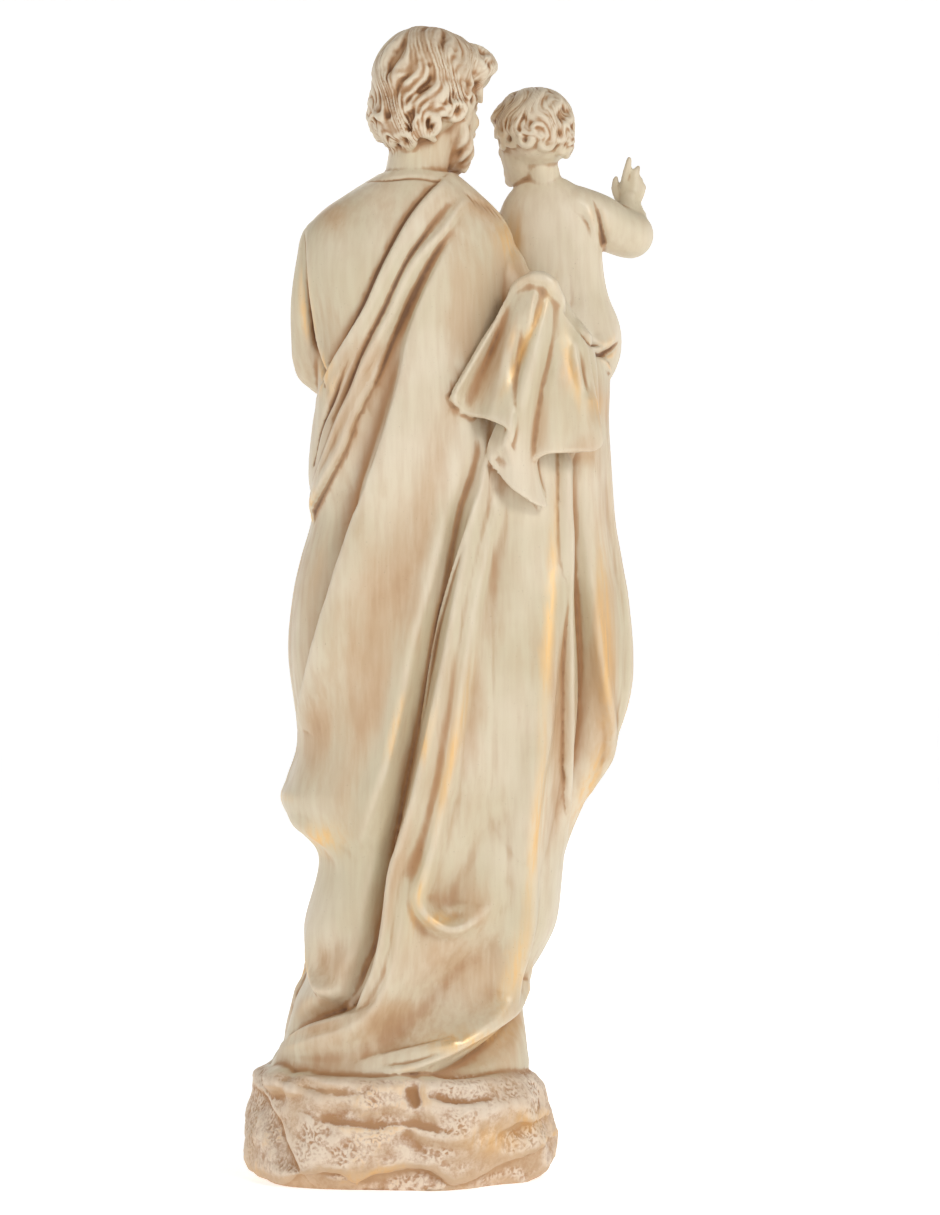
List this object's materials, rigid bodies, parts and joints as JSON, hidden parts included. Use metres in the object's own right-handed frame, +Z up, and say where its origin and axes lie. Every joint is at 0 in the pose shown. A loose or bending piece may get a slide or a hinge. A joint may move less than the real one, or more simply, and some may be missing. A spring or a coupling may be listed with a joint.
{
  "type": "religious statue",
  "caption": "Standing robed saint with a small child on one forearm, cast in one piece with a low irregular rock it stands on.",
  "frame": {"origin": "middle of the rock's flat underside", "axes": "+Z up, the statue faces -Y and its own left side is +X"},
  "size_m": [0.2213, 0.1657, 0.6153],
  "materials": {
    "painted_resin": "cast resin, ivory paint rubbed back over a brown wash, with faint gold on the raised folds"
  },
  "bodies": {
    "root": {"saint_and_child": "painted_resin"}
  },
  "joints": []
}
